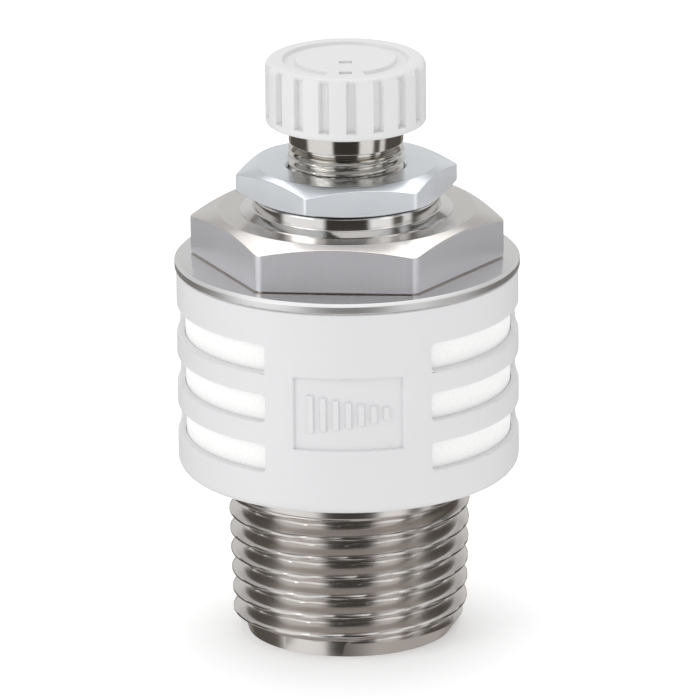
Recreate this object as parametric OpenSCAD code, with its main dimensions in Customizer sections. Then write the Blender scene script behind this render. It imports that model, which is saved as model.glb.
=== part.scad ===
// Exhaust muffler with a built-in metering valve, for an R 1/2 port.
// Air enters the threaded nipple, passes the needle's seat, leaves the valve body
// through radial ports, and spreads through two porous sleeves and the cover's windows.
// The knob screws the needle up or down, and the lock nut holds the setting.

/* [Inlet thread] */
// Major diameter of the pipe thread at its gauge plane
thread_d = 20.955; // [17.4:0.005:22]
// Distance between two thread crests
thread_pitch = 1.814; // [1.2:0.001:2.2]
// Depth of the thread, crest to root
thread_depth = 1.162; // [0.6:0.001:1.3]
// Height of the gauge plane above the nipple's open end
gauge_height = 8.2; // [5:0.1:11]
// Length of the threaded nipple, up to its plain collar
nipple_len = 13.1; // [10.5:0.1:18]
// Diameter of the inlet bore
inlet_d = 14; // [11:0.1:15]

/* [Valve body] */
// Height of the plain collar above the thread
collar_h = 2.3; // [1.5:0.1:4]
// Width across the flats of the wrench hexagon
hex_af = 24; // [23.5:0.1:30]
// Height of the wrench hexagon
hex_h = 4.2; // [3:0.1:8]
// Turn of the hexagon about the axis, in degrees
hex_turn = -4.6; // [-30:0.1:30]
// Depth of the plenum turned into the barrel behind the sleeves
plenum_depth = 0.9; // [0.4:0.05:1.2]
// Diameter of the seat's orifice
seat_d = 8.4; // [6.5:0.1:10]
// Thickness of the wall that holds the seat
seat_wall = 2.5; // [1.5:0.1:4]
// Number of radial ports
port_count = 6; // [4:1:8]
// Diameter of each radial port
port_d = 4.4; // [2.5:0.1:4.8]

/* [Silencer] */
// Wall of the fine outer sleeve
outer_sleeve_wall = 1.8; // [1.5:0.05:4]
// Thickness of the cover's wall
cover_wall = 0.7; // [0.6:0.05:1.6]
// Length of the porous sleeves
sleeve_len = 14.15; // [13.5:0.05:22]
// Thickness of the flat gasket at each end of the sleeves
gasket_t = 0.8; // [0.4:0.1:1.2]
// Wall of the perforated tube behind the sleeves
tube_wall = 0.5; // [0.3:0.05:0.7]
// Wall of the coarse inner sleeve
inner_sleeve_wall = 1; // [0.7:0.05:1.2]
// Number of rows of windows
window_rows = 3; // [1:1:5]
// Height of one window
window_h = 2.5; // [1:0.1:3.2]
// Distance between two rows of windows
window_pitch = 4.5; // [4:0.05:6]
// Angle from the front to the nearest edge of a window, in degrees
window_from_front = 29; // [24:0.1:33]
// Angle of the post between two windows of a row, in degrees
post_angle = 6; // [4:0.5:20]
// Thickness of the bright end plate under the hexagon
plate_t = 0.9; // [0.8:0.1:2]
// How far the end plate stands out past the cover
plate_overhang = 0.15; // [0.05:0.05:1]

/* [Panel] */
// Angle that the recessed panel covers, in degrees
panel_angle = 37.4; // [20:0.1:44]
// Height of the recessed panel
panel_h = 6.5; // [4:0.1:10]
// Depth of the recessed panel
panel_depth = 0.3; // [0.15:0.05:0.4]
// Number of raised bars in the panel
bar_count = 7; // [3:1:9]

/* [Needle and guide] */
// Major diameter of the needle's adjusting thread
needle_d = 10.1; // [8.4:0.1:12.2]
// Distance that one turn of the knob moves the needle
needle_pitch = 0.75; // [0.5:0.05:1]
// Wall of the guide round the needle's sealing land
guide_wall = 1.5; // [1:0.05:2]
// How far the guide's boss stands out past its spigot, all round
boss_step = 1.2; // [1:0.05:1.6]
// Height of the guide's boss above the hexagon
boss_h = 1.4; // [1:0.1:4]
// Travel from where the needle rests down to its seat
travel_down = 3; // [1:0.05:3.2]
// Travel from where the needle rests up to its stop
travel_up = 1.5; // [0.5:0.05:2.5]

/* [Lock nut and knob] */
// Width across the flats of the lock nut
nut_af = 17; // [15:0.5:19]
// Thickness of the lock nut
nut_t = 2.8; // [2:0.1:5]
// Turn of the lock nut about the axis, in degrees
nut_turn = 8.5; // [-30:0.1:30]
// Gap between the lock nut and the knob
knob_gap = 3.75; // [3.5:0.05:6]
// Diameter of the knob
knob_d = 14; // [13:0.1:20]
// Height of the knob
knob_h = 5.6; // [4.8:0.05:9]
// Number of grip flutes round the knob
flute_count = 18; // [8:1:24]
// Width of one flute
flute_w = 0.97; // [0.5:0.01:1.4]
// Depth of one flute
flute_depth = 0.55; // [0.2:0.01:0.8]
// Turn of the first flute from the front, in degrees
flute_turn = 4; // [0:0.5:20]

/* [Hidden] */
$fn = 96;
eps = 0.01;            // lets a cut pass through a face
front = -90;           // the panel faces -Y
run_gap = 0.05;        // radial gap of a thread or a fit that turns or slides
slip_gap = 0.05;       // radial gap of pieces that are slid over one another
taper = 1 / 16;        // growth of the pipe thread's diameter with height
chamfer_angle = 20;    // slope of the turned chamfers on both hexagons

// Plain collar, retaining ring and the pilots that carry the silencer
crest_flat = 0.3;
root_flat = 0.3;
first_groove = 3.2;
lead_below_root = 0.1;
nipple_lead_r = thread_d / 2 - gauge_height * taper / 2 - thread_depth - lead_below_root;
lead_h = 1.2;
collar_step = 0.07;
collar_r = (thread_d + (nipple_len - gauge_height) * taper) / 2 + collar_step;
plenum_r = collar_r - plenum_depth;
collar_top = nipple_len + collar_h;
ring_t = 0.8;
ring_groove_h = ring_t + 2 * slip_gap;
ring_groove_r = collar_r - 0.8;
ring_outer_r = collar_r + 1.2;
ring_z = collar_top + slip_gap;
floor_z = collar_top + ring_groove_h;
floor_t = 1.15;
skirt_rise = 1.75;     // height of the cover's lower edge above the threaded length
skirt_z = nipple_len + skirt_rise;

// Heights of the silencer's stack, from the cover's floor to the hexagon
lower_gasket_z = floor_z + floor_t;
sleeve_z = lower_gasket_z + gasket_t;
upper_gasket_z = sleeve_z + sleeve_len;
cover_top = upper_gasket_z + gasket_t;
hex_z = cover_top + plate_t;
hex_top = hex_z + hex_h;

// Radii of the silencer's stack, from the collar outwards
pilot_hole_r = collar_r + slip_gap;
tube_in_r = collar_r + 2 * slip_gap;
tube_out_r = tube_in_r + tube_wall;
inner_sleeve_in_r = tube_out_r + slip_gap;
inner_sleeve_out_r = inner_sleeve_in_r + inner_sleeve_wall;
outer_sleeve_in_r = inner_sleeve_out_r + slip_gap;
outer_sleeve_out_r = outer_sleeve_in_r + outer_sleeve_wall;
cover_in_r = outer_sleeve_out_r + slip_gap;
cover_r = cover_in_r + cover_wall;
plate_r = cover_r + plate_overhang;

// Valve passage
seat_rise = 5.9;       // height of the seat above the threaded length
seat_z = nipple_len + seat_rise;
guide_end_clear = 0.3;
land_d = max(needle_d + 0.8, seat_d + 2.5);
spigot_r = land_d / 2 + run_gap + guide_wall;
boss_r = spigot_r + boss_step;
pocket_r = spigot_r + run_gap;
pocket_step = 0.6;
chamber_r = spigot_r - pocket_step;
chamber_h = 6.5;
pocket_z = seat_z + chamber_h;
port_rise = 3.75;
port_z = seat_z + port_rise;
spigot_bottom = pocket_z + guide_end_clear;
plenum_inset = 0.65;
plenum_z = lower_gasket_z + plenum_inset;
plenum_top = upper_gasket_z - plenum_inset;

// Needle
land_r = land_d / 2;
needle_r = needle_d / 2;
relief_depth = 0.65;
relief_r = needle_r - relief_depth;
needle_thread_depth = 0.46;
needle_facets = 72;    // facets round the needle, whose thread has many rings
guide_thread_h = 6.4;  // height of the guide's boss top above the needle's land
land_bore_r = land_r + run_gap;
thread_bore_r = needle_r + run_gap;
boss_top = hex_top + boss_h;
nut_top = boss_top + nut_t;
knob_z = nut_top + knob_gap;
knob_top = knob_z + knob_h;
cone_tip_r = seat_d / 2 - 1;
cone_top_r = land_r - 0.55;
cone_slope = 0.35;
seat_clear = 0.02;
tip_z = seat_z + travel_down + seat_clear - (seat_d / 2 - cone_tip_r) / cone_slope;
cone_top_z = tip_z + (cone_top_r - cone_tip_r) / cone_slope;
land_z = cone_top_z + 1.2;
land_top = boss_top - guide_thread_h;
stop_z = land_top + travel_up + run_gap;
relief_h = 0.8;
stem_collar_r = needle_r - 0.05;
stem_collar_h = 1.75;
stem_collar_lead = 0.15;
stem_neck_h = 0.25;
needle_thread_top = knob_z - stem_collar_h - stem_collar_lead - stem_neck_h;
needle_thread_z = land_top + relief_h;
stem_end_r = 3.5;
stem_end_cover = 1.6;  // thickness of the knob above the stem's end
stem_end_h = knob_h - stem_end_cover;
stem_flat = 0.7;       // depth of the flat that keeps the knob from slipping round

// Round seals
needle_seal_r = 0.62;
seal_gap = 0.02;
seal_groove_h = 1.6;
seal_below_land = 3.03;
seal_z = land_top - seal_below_land;
seal_groove_r = land_bore_r - 2 * needle_seal_r - 0.06;
guide_seal_r = 0.44;
guide_seal_h = 2 * guide_seal_r + 0.06;
guide_seal_mid_r = spigot_r + guide_seal_r + 0.05;
guide_seat_r = guide_seal_mid_r + guide_seal_r + 0.06;

// Window and panel places
window_drop = 1.2;     // how far the rows sit below the middle of the sleeves
window_mid = (sleeve_z + upper_gasket_z) / 2 - window_drop;
window_mids = [for (i = [0 : window_rows - 1]) window_mid + (i - (window_rows - 1) / 2) * window_pitch];
window_columns = 4;
window_angle = (360 - 2 * window_from_front - (window_columns - 1) * post_angle) / window_columns;
window_starts = [for (i = [0 : window_columns - 1])
    front + window_from_front + i * (window_angle + post_angle)];
panel_drop = 0.1;
panel_mid = window_mid - panel_drop;
panel_r = cover_r - panel_depth;
bar_pitch_share = 0.115;   // share of the panel's width from one raised bar to the next
bar_width_share = 0.55;    // share of that pitch that a bar takes
bar_proud_share = 0.7;     // share of the panel's depth that a bar stands up
bar_pitch = panel_angle * bar_pitch_share;
bar_angle = bar_pitch * bar_width_share;
bar_proud = panel_depth * bar_proud_share;

// Knob
knob_r = knob_d / 2;
knob_base_round = 0.8;
knob_top_round = 0.6;
flute_rise = 0.7;
flute_top_clear = 0.1;
flute_z = knob_z + flute_rise;
flute_top = knob_top - knob_top_round - flute_top_clear;
channel_out_r = knob_r - 1.5;
channel_w = 1.15;
channel_in_r = channel_out_r - channel_w;
channel_depth = 0.35;
bridge_w = 3.1;
index_w = 1.1;
index_h = 0.8;
index_depth = 0.3;
index_places = [-1.2, -channel_in_r - 0.25];

// Radius of the pipe thread's crest at a height
function crest_r(z) = thread_d / 2 + (z - gauge_height) * taper / 2;

// Corner points of an arc in the r-z plane
function arc(cx, cy, r, from, to, steps) =
    [for (i = [0 : steps]) let (a = from + (to - from) * i / steps) [cx + r * cos(a), cy + r * sin(a)]];

// A ring with a square section
module ring(r_in, r_out, z, h) {
    translate([0, 0, z]) difference() {
        cylinder(r = r_out, h = h);
        translate([0, 0, -eps]) cylinder(r = r_in, h = h + 2 * eps);
    }
}

// A ring with a round section
module o_ring(mid_r, section_r, z) {
    translate([0, 0, z]) rotate_extrude() translate([mid_r, 0]) circle(r = section_r, $fn = 32);
}

// Part of a ring, from one angle over a span
module ring_sector(from, span, r_in, r_out, z, h) {
    rotate([0, 0, from]) rotate_extrude(angle = span) translate([r_in, z]) square([r_out - r_in, h]);
}

// A hexagon bar on the axis, one flat facing the front before its turn
module hex_bar(af, z, h, turn) {
    translate([0, 0, z]) rotate([0, 0, turn]) cylinder(r = af / sqrt(3), h = h, $fn = 6);
}

// Outline of the nipple: lead-in, tapered thread and plain collar
function nipple_outline() = let (
        grooves = floor((nipple_len - first_groove) / thread_pitch),
        mouth = (thread_pitch - crest_flat) / 2)
    concat(
        [[nipple_lead_r, 0], [crest_r(lead_h), lead_h]],
        [for (k = [0 : grooves], p = [[-mouth, 0], [-root_flat / 2, 1], [root_flat / 2, 1], [mouth, 0]])
            let (z = first_groove + k * thread_pitch + p[0]) [crest_r(z) - p[1] * thread_depth, z]]);

// Valve body: nipple, barrel with its plenum, and wrench hexagon, turned from one brass bar
module valve_body() {
    hex_edge_r = hex_af / sqrt(3) - 0.16;
    hex_face_r = hex_af / 2 - 0.75;
    hex_chamfer_h = (hex_edge_r - hex_face_r) * tan(chamfer_angle);
    color("#b9b9be") difference() {
        union() {
            rotate_extrude() polygon(concat([[0, 0]], nipple_outline(), [
                [collar_r, nipple_len + 0.2], [collar_r, collar_top],
                [ring_groove_r, collar_top], [ring_groove_r, floor_z],
                [collar_r, floor_z], [collar_r, plenum_z],
                [plenum_r, plenum_z], [plenum_r, plenum_top],
                [collar_r, plenum_top], [collar_r, hex_z + eps], [0, hex_z + eps]]));
            intersection() {
                hex_bar(hex_af, hex_z, hex_h, hex_turn);
                rotate_extrude() polygon([[0, hex_z], [hex_edge_r, hex_z],
                    [hex_edge_r, hex_top - hex_chamfer_h], [hex_face_r, hex_top], [0, hex_top]]);
            }
        }
        translate([0, 0, -eps]) cylinder(d = inlet_d, h = seat_z - seat_wall + eps);
        cylinder(d = seat_d, h = seat_z + eps);
        translate([0, 0, seat_z]) cylinder(r = chamber_r, h = chamber_h + eps);
        translate([0, 0, pocket_z]) cylinder(r = pocket_r, h = hex_top - pocket_z + eps);
        translate([0, 0, hex_top - guide_seal_h]) cylinder(r = guide_seat_r, h = guide_seal_h + eps);
        for (i = [0 : port_count - 1])
            rotate([0, 90, (i + 0.5) * 360 / port_count]) translate([-port_z, 0, chamber_r - 1])
                cylinder(d = port_d, h = collar_r - chamber_r + 1);
    }
}

// Needle guide: screwed into the valve body, it carries the needle's thread and its sealing bore
module needle_guide() {
    foot_r = boss_r + 1.1;
    foot_h = 0.32;
    foot_edge = 0.06;
    boss_edge = 0.2;
    color("#c6c6ca") difference() {
        rotate_extrude() polygon([[0, spigot_bottom], [spigot_r, spigot_bottom],
            [spigot_r, hex_top], [foot_r, hex_top], [foot_r, hex_top + foot_edge],
            [boss_r, hex_top + foot_h], [boss_r, boss_top - boss_edge],
            [boss_r - boss_edge, boss_top], [0, boss_top]]);
        translate([0, 0, spigot_bottom - eps]) cylinder(r = land_bore_r, h = stop_z - spigot_bottom + eps);
        cylinder(r = thread_bore_r, h = boss_top + eps);
    }
}

// Static seal under the guide's foot
module guide_o_ring() {
    color("#1d1d1d") o_ring(guide_seal_mid_r, guide_seal_r, hex_top - guide_seal_h / 2);
}

// Needle: metering cone, sealing land, adjusting thread, neck and the end that carries the knob
module needle() {
    land_lead = 0.3;
    turns = floor((needle_thread_top - needle_thread_z) / needle_pitch);
    thread = [for (k = [0 : turns - 1], p = [[0, 0], [0.1, 0], [0.45, 1], [0.55, 1]])
        let (z = needle_thread_top - (turns - k - p[0]) * needle_pitch)
        [needle_r - p[1] * needle_thread_depth, z]];
    color("#a9a59c") {
        rotate_extrude($fn = needle_facets) polygon(concat([
            [0, tip_z], [cone_tip_r, tip_z], [cone_top_r, cone_top_z], [cone_top_r, land_z - land_lead],
            [land_r, land_z], [land_r, seal_z - seal_groove_h / 2],
            [seal_groove_r, seal_z - seal_groove_h / 2], [seal_groove_r, seal_z + seal_groove_h / 2],
            [land_r, seal_z + seal_groove_h / 2], [land_r, land_top],
            [relief_r, land_top], [relief_r, needle_thread_z]],
            thread, [
            [relief_r, needle_thread_top], [relief_r, knob_z - stem_collar_h - stem_collar_lead],
            [stem_collar_r, knob_z - stem_collar_h], [stem_collar_r, knob_z], [0, knob_z]]));
        stem_end(stem_end_r, knob_z - eps, stem_end_h + eps);
    }
}

// The needle's upper end, a round with one flat at the back
module stem_end(r, z, h) {
    translate([0, 0, z]) difference() {
        cylinder(r = r, h = h);
        translate([-r, r - stem_flat, -eps]) cube([2 * r, r, h + 2 * eps]);
    }
}

// Sliding seal in the needle's groove
module needle_o_ring() {
    color("#232323") o_ring(seal_groove_r + seal_gap + needle_seal_r, needle_seal_r, seal_z);
}

// Lock nut, chamfered on both faces
module lock_nut() {
    past_corner_r = nut_af / sqrt(3) + 0.5;
    face_r = nut_af / 2 - 0.7;
    chamfer_h = (past_corner_r - face_r) * tan(chamfer_angle);
    lead = 0.35;           // countersink of the threaded bore
    color("#c9d0d6") difference() {
        intersection() {
            hex_bar(nut_af, boss_top, nut_t, nut_turn);
            rotate_extrude() polygon([[0, boss_top], [face_r, boss_top],
                [past_corner_r, boss_top + chamfer_h], [past_corner_r, nut_top - chamfer_h],
                [face_r, nut_top], [0, nut_top]]);
        }
        rotate_extrude() polygon([[0, boss_top - eps], [thread_bore_r + lead, boss_top - eps],
            [thread_bore_r, boss_top + lead], [thread_bore_r, nut_top - lead],
            [thread_bore_r + lead, nut_top + eps], [0, nut_top + eps]]);
    }
}

// Knob, moulded with grip flutes, a ring channel and two short index marks on its top
module knob() {
    core_r = channel_in_r + 0.35;
    rim_in_r = knob_r - 1.4;
    recess_h = 1.8;
    end_clear = 0.2;
    color("#ececec") difference() {
        rotate_extrude() polygon(concat([[0, knob_z]],
            arc(knob_r - knob_base_round, knob_z + knob_base_round, knob_base_round, -90, 0, 6),
            arc(knob_r - knob_top_round, knob_top - knob_top_round, knob_top_round, 0, 90, 4),
            [[0, knob_top]]));
        for (i = [0 : flute_count - 1])
            rotate([0, 0, front + flute_turn + i * 360 / flute_count])
                translate([knob_r - flute_depth, -flute_w / 2, flute_z])
                    cube([flute_depth + 1, flute_w, flute_top - flute_z]);
        difference() {
            ring(channel_in_r, channel_out_r, knob_top - channel_depth, channel_depth + eps);
            translate([-bridge_w / 2, -knob_r, knob_top - 1]) cube([bridge_w, knob_r, 2]);
        }
        for (y = index_places)
            translate([-index_w / 2, y - index_h / 2, knob_top - index_depth]) cube([index_w, index_h, 1]);
        ring(core_r, rim_in_r, knob_z - eps, recess_h);
        translate([0, 0, -eps]) stem_end(stem_end_r, knob_z, stem_end_h + end_clear);
    }
}

// Bright end plate between the hexagon and the cover
module end_plate() {
    lower_edge = 0.1;
    edge = 0.25;
    color("#d8d8da")
        rotate_extrude() polygon([[pilot_hole_r, cover_top], [plate_r - lower_edge, cover_top],
            [plate_r, cover_top + lower_edge], [plate_r, hex_z - edge], [plate_r - edge, hex_z],
            [pilot_hole_r, hex_z]]);
}

// Flat gaskets at both ends of the sleeves
module upper_gasket() {
    color("#2a2a2a") ring(tube_in_r, outer_sleeve_out_r, upper_gasket_z, gasket_t);
}

module lower_gasket() {
    color("#2a2a2a") ring(tube_in_r, outer_sleeve_out_r, lower_gasket_z, gasket_t);
}

// Perforated steel tube that keeps the sleeves off the ports
module sleeve_support_tube() {
    hole_rows = 3;
    holes_round = 12;
    hole_d = 2.6;
    row_pitch = sleeve_len / (hole_rows + 1);
    color("#8f9498") difference() {
        ring(tube_in_r, tube_out_r, sleeve_z, sleeve_len);
        for (row = [1 : hole_rows], i = [0 : holes_round - 1])
            rotate([0, 90, (i + row / 2) * 360 / holes_round])
                translate([-(sleeve_z + row * row_pitch), 0, tube_in_r - 1])
                    cylinder(d = hole_d, h = tube_wall + 2);
    }
}

// Porous sleeves, the coarse one inside the fine one
module inner_sleeve() {
    color("#dcdcd6") ring(inner_sleeve_in_r, inner_sleeve_out_r, sleeve_z, sleeve_len);
}

module outer_sleeve() {
    color("#fbfbfb") ring(outer_sleeve_in_r, outer_sleeve_out_r, sleeve_z, sleeve_len);
}

// Moulded cover: four columns of windows, and a recessed front panel with raised bars
module silencer_cover() {
    base_round = 1.3;
    top_edge = 0.15;
    recess_r = ring_outer_r + 0.2;
    color("#e3e4e6") difference() {
        rotate_extrude() polygon(concat([[recess_r, skirt_z]],
            arc(cover_r - base_round, skirt_z + base_round, base_round, -90, 0, 6),
            [[cover_r, cover_top - top_edge], [cover_r - top_edge, cover_top], [cover_in_r, cover_top],
             [cover_in_r, lower_gasket_z], [pilot_hole_r, lower_gasket_z],
             [pilot_hole_r, floor_z], [recess_r, floor_z]]));
        for (z = window_mids, from = window_starts)
            ring_sector(from, window_angle, cover_in_r - 1, cover_r + 1, z - window_h / 2, window_h);
        difference() {
            ring_sector(front - panel_angle / 2, panel_angle, panel_r, cover_r + 1,
                panel_mid - panel_h / 2, panel_h);
            for (i = [0 : bar_count - 1])
                ring_sector(front + (i - (bar_count - 1) / 2) * bar_pitch - bar_angle / 2, bar_angle,
                    panel_r - 0.1, panel_r + bar_proud, panel_mid - bar_h(i) / 2, bar_h(i));
        }
    }
}

// Height of one raised bar: tall at the left, fading to the right
tallest_bar_share = 0.56;
shortest_bar_share = 0.22;
function bar_h(i) = panel_h
    * (tallest_bar_share + (shortest_bar_share - tallest_bar_share) * i / (bar_count - 1));

// Spring ring in the collar's groove, open at the back, with two pliers holes
module retaining_ring() {
    open_angle = 34;
    lug_r = 1;
    lug_mid_r = ring_outer_r - lug_r;
    lug_angle = open_angle / 2 + 5;
    band_inset = 0.4;
    pliers_hole_r = 0.45;
    color("#5d6266") difference() {
        union() {
            ring_sector(-front + open_angle / 2, 360 - open_angle, ring_groove_r + slip_gap,
                ring_outer_r - band_inset, ring_z, ring_t);
            for (side = [-1, 1])
                rotate([0, 0, -front + side * lug_angle])
                    translate([lug_mid_r, 0, ring_z]) cylinder(r = lug_r, h = ring_t);
        }
        for (side = [-1, 1])
            rotate([0, 0, -front + side * lug_angle])
                translate([lug_mid_r, 0, ring_z - eps]) cylinder(r = pliers_hole_r, h = ring_t + 2 * eps);
    }
}

valve_body();
needle_guide();
guide_o_ring();
needle();
needle_o_ring();
lock_nut();
knob();
end_plate();
upper_gasket();
sleeve_support_tube();
inner_sleeve();
outer_sleeve();
lower_gasket();
silencer_cover();
retaining_ring();
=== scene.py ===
from math import asin, atan2, ceil, cos, degrees, exp, log, pi, radians, sin, tan

import bmesh
import bpy
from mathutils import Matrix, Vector


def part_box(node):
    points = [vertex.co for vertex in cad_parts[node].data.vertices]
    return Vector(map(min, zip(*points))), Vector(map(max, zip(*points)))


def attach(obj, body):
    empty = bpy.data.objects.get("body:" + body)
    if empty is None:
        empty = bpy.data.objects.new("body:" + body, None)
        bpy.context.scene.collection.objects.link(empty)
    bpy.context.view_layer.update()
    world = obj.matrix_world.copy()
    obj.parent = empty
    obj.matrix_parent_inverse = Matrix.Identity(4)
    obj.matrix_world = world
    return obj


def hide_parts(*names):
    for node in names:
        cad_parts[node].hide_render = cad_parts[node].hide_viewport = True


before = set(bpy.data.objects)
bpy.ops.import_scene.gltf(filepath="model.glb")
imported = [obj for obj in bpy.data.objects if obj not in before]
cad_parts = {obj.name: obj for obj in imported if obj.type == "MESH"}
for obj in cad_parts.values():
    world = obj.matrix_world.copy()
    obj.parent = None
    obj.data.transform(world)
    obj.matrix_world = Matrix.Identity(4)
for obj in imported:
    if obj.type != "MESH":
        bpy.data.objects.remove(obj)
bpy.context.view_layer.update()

# ---------------------------------------------------------------- valve body
# One bar of brass, turned, threaded and milled, then plated with satin nickel. It is the nipple,
# the barrel behind the silencer and the wrench hexagon; the needle's seat and ports are inside it.

MM = 0.001


def rounded(points, steps=4):
    """Rounds each (radius, height, fillet) corner of a looped outline. A point of two numbers is sharp."""
    out = []
    for i, point in enumerate(points):
        corner = Vector(point[:2])
        if len(point) == 2:
            out.append(corner)
            continue
        before = Vector(points[i - 1][:2]) - corner
        after = Vector(points[(i + 1) % len(points)][:2]) - corner
        reach = point[2] / tan(before.angle(after) / 2)
        reach = min(reach, before.length * 0.48, after.length * 0.48)
        start = corner + before.normalized() * reach
        end = corner + after.normalized() * reach
        for k in range(steps + 1):
            t = k / steps
            out.append(start * (1 - t) ** 2 + corner * (2 * t * (1 - t)) + end * t ** 2)
    return out


def even(start, end, step):
    """Numbers from start up to, but not including, end, about a step apart."""
    count = max(1, ceil((end - start) / step - 1e-9))
    return [start + (end - start) * i / count for i in range(count)]


def smooth_by_angle(mesh, limit=25):
    """Shades a mesh smooth, apart from the edges that turn by more than the limit, in degrees."""
    bm = bmesh.new()
    bm.from_mesh(mesh)
    for face in bm.faces:
        face.smooth = True
    for edge in bm.edges:
        edge.smooth = len(edge.link_faces) != 2 or edge.calc_face_angle(0) < radians(limit)
    bm.to_mesh(mesh)
    bm.free()


def revolved(name, outline, angles, loop=True):
    """A closed piece round the Z axis. outline(angle) gives its (radius, height) points, in millimetres and
    degrees. A looped outline makes a ring; an open one begins and ends on the axis."""
    columns = [outline(angle) for angle in angles]
    count = len(columns[0])
    verts = [(r * cos(radians(a)) * MM, r * sin(radians(a)) * MM, z * MM)
             for a, column in zip(angles, columns) for r, z in column]
    faces = []
    for i in range(len(angles)):
        j = (i + 1) % len(angles)
        for k in range(count if loop else count - 1):
            n = (k + 1) % count
            faces.append((i * count + k, j * count + k, j * count + n, i * count + n))
    mesh = bpy.data.meshes.new(name)
    mesh.from_pydata(verts, [], faces)
    bm = bmesh.new()
    bm.from_mesh(mesh)
    bmesh.ops.remove_doubles(bm, verts=bm.verts, dist=1e-7)
    bmesh.ops.recalc_face_normals(bm, faces=bm.faces)
    bm.to_mesh(mesh)
    bm.free()
    piece = bpy.data.objects.new(name, mesh)
    bpy.context.scene.collection.objects.link(piece)
    return piece


def settle(piece, smooth=25):
    """Turns a piece's modifiers into plain mesh."""
    seen = piece.evaluated_get(bpy.context.evaluated_depsgraph_get())
    mesh = bpy.data.meshes.new_from_object(seen)
    piece.modifiers.clear()
    piece.data = mesh
    smooth_by_angle(mesh, smooth)


class Value:
    """What comes out of a node. Arithmetic on it adds Math nodes, and [] picks another of its outputs."""

    def __init__(self, tree, socket):
        self.tree, self.socket = tree, socket

    def __getitem__(self, name):
        return Value(self.tree, self.socket.node.outputs[name])

    def math(self, operation, *others, clamp=False):
        return self.tree.add("ShaderNodeMath", {"operation": operation, "use_clamp": clamp},
                             dict(enumerate([self, *others])))

    def __add__(self, other):
        return self.math("ADD", other)

    __radd__ = __add__

    def __mul__(self, other):
        return self.math("MULTIPLY", other)

    __rmul__ = __mul__

    def __sub__(self, other):
        return self.math("SUBTRACT", other)

    def __rsub__(self, other):
        return self.tree.add("ShaderNodeMath", {"operation": "SUBTRACT"}, {0: other, 1: self})

    def __truediv__(self, other):
        return self.math("DIVIDE", other)

    def __rtruediv__(self, other):
        return self.tree.add("ShaderNodeMath", {"operation": "DIVIDE"}, {0: other, 1: self})


class Tree:
    """A node tree that is written as expressions."""

    def __init__(self, nodes):
        self.tree = nodes

    def add(self, kind, settings=None, inputs=None):
        """One node: its settings and colour stops first, then the values or links of its sockets."""
        node = self.tree.nodes.new(kind)
        for key, value in (settings or {}).items():
            if key == "stops":
                ramp = node.color_ramp.elements
                while len(ramp) < len(value):
                    ramp.new(0.5)
                for element, (place, colour) in zip(ramp, value):
                    element.position = place
                    element.color = (*colour, 1)
            else:
                setattr(node, key, value)
        for key, value in (inputs or {}).items():
            if isinstance(value, Value):
                self.tree.links.new(value.socket, node.inputs[key])
            else:
                node.inputs[key].default_value = value
        shown = [s for s in node.outputs if s.enabled]
        return Value(self, shown[0]) if shown else node


def geometry_tree(name, sizes):
    """A Geometry Nodes tree with a mesh input, a material input and named sizes."""
    group = bpy.data.node_groups.new(name, "GeometryNodeTree")
    group.interface.new_socket("Geometry", in_out="INPUT", socket_type="NodeSocketGeometry")
    for size in sizes:
        group.interface.new_socket(size, in_out="INPUT", socket_type="NodeSocketFloat")
    group.interface.new_socket("Material", in_out="INPUT", socket_type="NodeSocketMaterial")
    group.interface.new_socket("Geometry", in_out="OUTPUT", socket_type="NodeSocketGeometry")
    tree = Tree(group)
    return group, tree, tree.add("NodeGroupInput")


def close_tree(tree, given, geometry):
    """Ends a Geometry Nodes tree as every one ends here: real mesh, with its material."""
    real = tree.add("GeometryNodeRealizeInstances", inputs={"Geometry": geometry})
    painted = tree.add("GeometryNodeSetMaterial", inputs={"Geometry": real, "Material": given["Material"]})
    tree.add("NodeGroupOutput", inputs={"Geometry": painted})


def grow(piece, group, **sizes):
    """Puts a Geometry Nodes tree on a piece and sets its inputs."""
    modifier = piece.modifiers.new(group.name, "NODES")
    modifier.node_group = group
    wanted = {name.replace("_", " "): value for name, value in sizes.items()}
    for item in group.interface.items_tree:
        if item.in_out == "INPUT" and item.name in wanted:
            modifier[item.identifier] = wanted.pop(item.name)
    assert not wanted, wanted


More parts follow.
